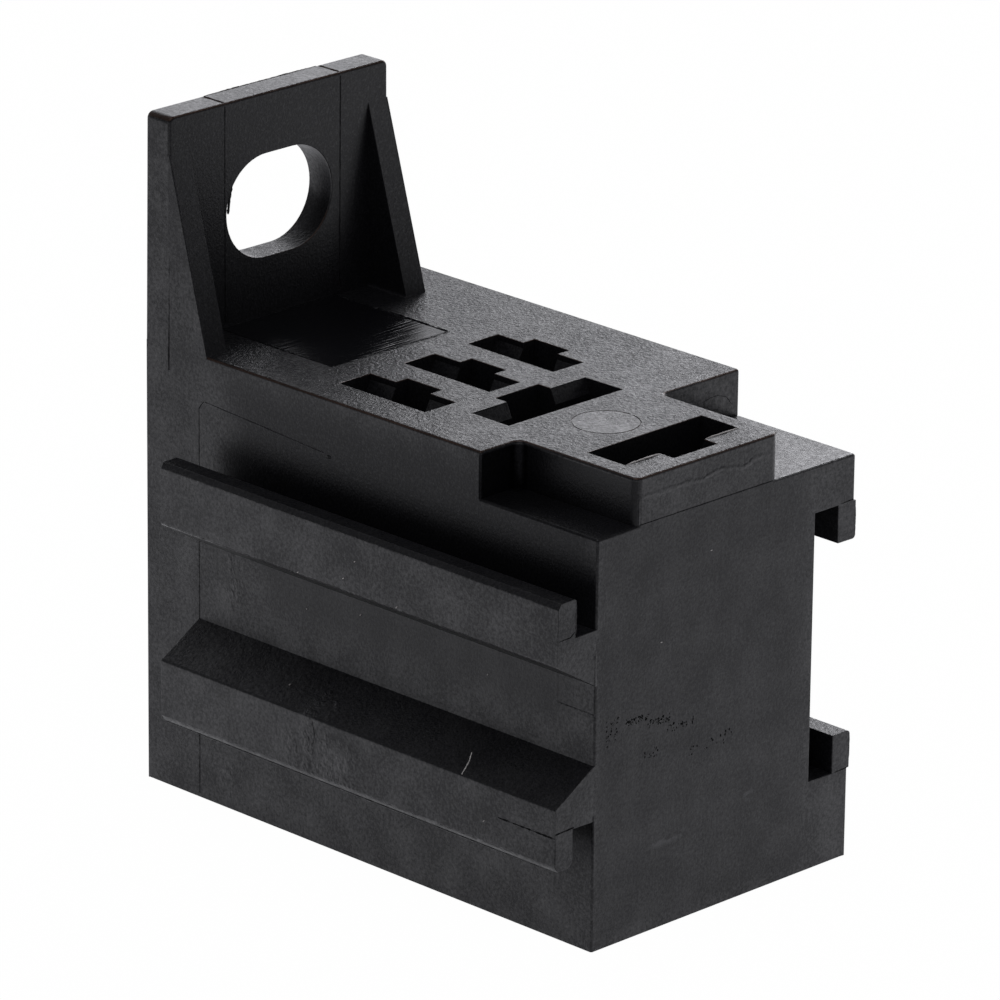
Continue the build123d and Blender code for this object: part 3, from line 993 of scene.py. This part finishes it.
pale_plastic, pale = new_recipe("chafed_plastic_and_painted_glint")
pale_drawn, pale_x, pale_y, pale_z = surface_place(pale)
chalk = noise(pale, pale_drawn, 6.0, 2.0)
pale_colour = pale.mix_colours(chalk, PALE_DARK, PALE_LIGHT)
pale_finish = {"Base Color": pale_colour, "Roughness": PALE_ROUGHNESS + (chalk - 0.5) * 0.2}
pale_shader = pale.add("ShaderNodeBsdfPrincipled", None, pale_finish)
pale.add("ShaderNodeOutputMaterial", None, {"Surface": pale_shader})
print("nodes in", pale_plastic.name, len(pale_plastic.node_tree.nodes))

# %% [markdown]
# Where two steel blocks met with a hair's gap, the plastic crept in and left flash: thin ragged ridges on
# the lips, along the rails, round the insert's face, on the tab's top edge, in its hole and behind it.
# They are grown by the same tree and sit half in the surface. They keep the plastic's finish, apart from
# the flash beside one slot and on the nose's edge, which is pale as a painted highlight in place of its
# glint.

# %% Flash
LIP_EDGE = 30.14
HOLE_X = 14.49             # middle of the right half circle of the screw hole
HOLE_Z = 48.9
HOLE_RADIUS = 4.5
HOLE_BACK = 52.28
hole_turns = [math.radians(angle) for angle in range(-75, 80, 5)]
hole_arc = [
    (HOLE_X + HOLE_RADIUS * math.cos(turned), HOLE_BACK, HOLE_Z + HOLE_RADIUS * math.sin(turned))
    for turned in hole_turns
]
RAIL_FACE = -4.26
flash_kinds = {      # name: runs, radius, raggedness, wander
    "lip_flash": ([
        [(LIP_EDGE, 0.04, 28.15), (LIP_EDGE + 0.02, 0.05, 29.4), (LIP_EDGE, 0.04, 30.55)],
        [(LIP_EDGE, 0.04, 8.3), (LIP_EDGE + 0.02, 0.05, 9.6), (LIP_EDGE, 0.04, 10.85)],
        [(-2.28, 0.03, 27.9), (-2.28, 0.03, 30.7)],
    ], 0.07, 0.35, 0.03),
    "edge_flash": ([
        [(RAIL_FACE, 1.5, 8.12), (RAIL_FACE, 45.6, 8.12)],
        [(RAIL_FACE, 1.5, 25.5), (RAIL_FACE, 45.6, 25.5)],
        [(RAIL_FACE, 46.0, 8.6), (RAIL_FACE, 46.0, 13.2)],
        [(RAIL_FACE, 46.0, 25.9), (RAIL_FACE, 46.0, 30.2)],
        [(RAIL_FACE, 0.4, 30.38), (RAIL_FACE, 45.6, 30.38)],
        [(-4.28, 0.02, 13.4), (-0.1, 0.02, 16.0)],
        [(2.6, 49.68, 39.22), (14.0, 49.68, 39.22)],
    ], 0.04, 0.8, 0.05),
    "tab_edge": ([
        [(6.6, 52.43, 58.65), (19.4, 52.43, 58.65)],
    ], 0.08, 0.5, 0.05),
    "hole_lip": ([hole_arc], 0.2, 0.25, 0.05),
    "insert_flash": ([
        [(6.6, 36.2, SEAT_TOP), (19.3, 36.2, SEAT_TOP)],
        [(19.38, 36.5, SEAT_TOP), (19.38, 43.5, SEAT_TOP)],
        [(17.9, 36.22, SEAT_TOP), (19.1, 36.22, SEAT_TOP)],
    ], 0.05, 1.0, 0.1),
    "seam_nub": ([
        [(0, 30.8, 34.32), (0, 30.3, 34.25)],
    ], 0.12, 0.5, 0.06),
    "tab_flash": ([
        [(6.85, 49.8, 49.0), (6.95, 49.8, 50.2), (7.25, 49.8, 51.4)],
    ], 0.13, 0.6, 0.1),
    "slot_flash": ([
        [(6.3, 2.98, 39.2), (8.2, 2.9, 39.27), (10.1, 2.98, 39.2)],
        [(15.3, 2.98, 39.2), (17.2, 2.93, 39.24), (19.1, 2.98, 39.2)],
        [(20.72, 0.35, 38.95), (20.76, 0.35, 39.22)],
    ], 0.07, 0.4, 0.05),
}

FLASH_FINENESS = 2.0
FLASH_SPACING = 0.15
FLASH_TAPER = 0.5
FIRST_FLASH_SEED = 20.0

for number, (name, (runs, radius, raggedness, wander)) in enumerate(flash_kinds.items()):
    # The flash beside one slot and on the nose's edge gets the pale finish as a painted highlight.
    finish = pale_plastic if name == "slot_flash" else black_plastic
    growth = (FLASH_FINENESS, FLASH_SPACING, FLASH_TAPER, FIRST_FLASH_SEED + number)
    fin = ragged(name, runs, finish, radius, raggedness, wander, *growth)
    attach(fin, "root")

# %% [markdown]
# Handling leaves its own marks: a pale scratch down the lower rail's slope and a few specks of dust. They
# are ragged lines again, and as pale as the thin flash.

# %% Scratches and specks
SPECK_LENGTH = 0.04
scratch_runs = [
    [(-2.42, 11.33, 14.6), (-3.15, 10.91, 14.16), (-4.25, 10.6, 13.5)],
    [(-2.38, 11.4, 14.63), (-2.5, 11.3, 14.55)],
]
SPECKS = (
    (-4.3, 29.6, 25.6), (-4.3, 24.3, 26.5), (-4.3, 18.1, 25.7), (-4.3, 22.97, 28.3), (0, 26.68, 21.6),
    (0, 33.0, 20.4), (0, 12.0, 20.5), (-4.3, 8.0, 10.2), (7.5, 0, 24.6), (13.1, 0, 31.0),
    (-2.49, 32.44, 14.55),
)
speck_runs = [
    [(spot_x, spot_y, spot_z), (spot_x, spot_y + SPECK_LENGTH, spot_z + SPECK_LENGTH)]
    for spot_x, spot_y, spot_z in SPECKS
]
scratches = ragged("scratches", scratch_runs, pale_plastic, 0.055, 0.6, 0.06, 3.0, 0.1, 0.3, 31.0)
specks = ragged("specks", speck_runs, pale_plastic, 0.095, 0.6, 0.0, 3.0, 0.1, 0.0, 32.0)
for mark in (scratches, specks):
    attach(mark, "root")
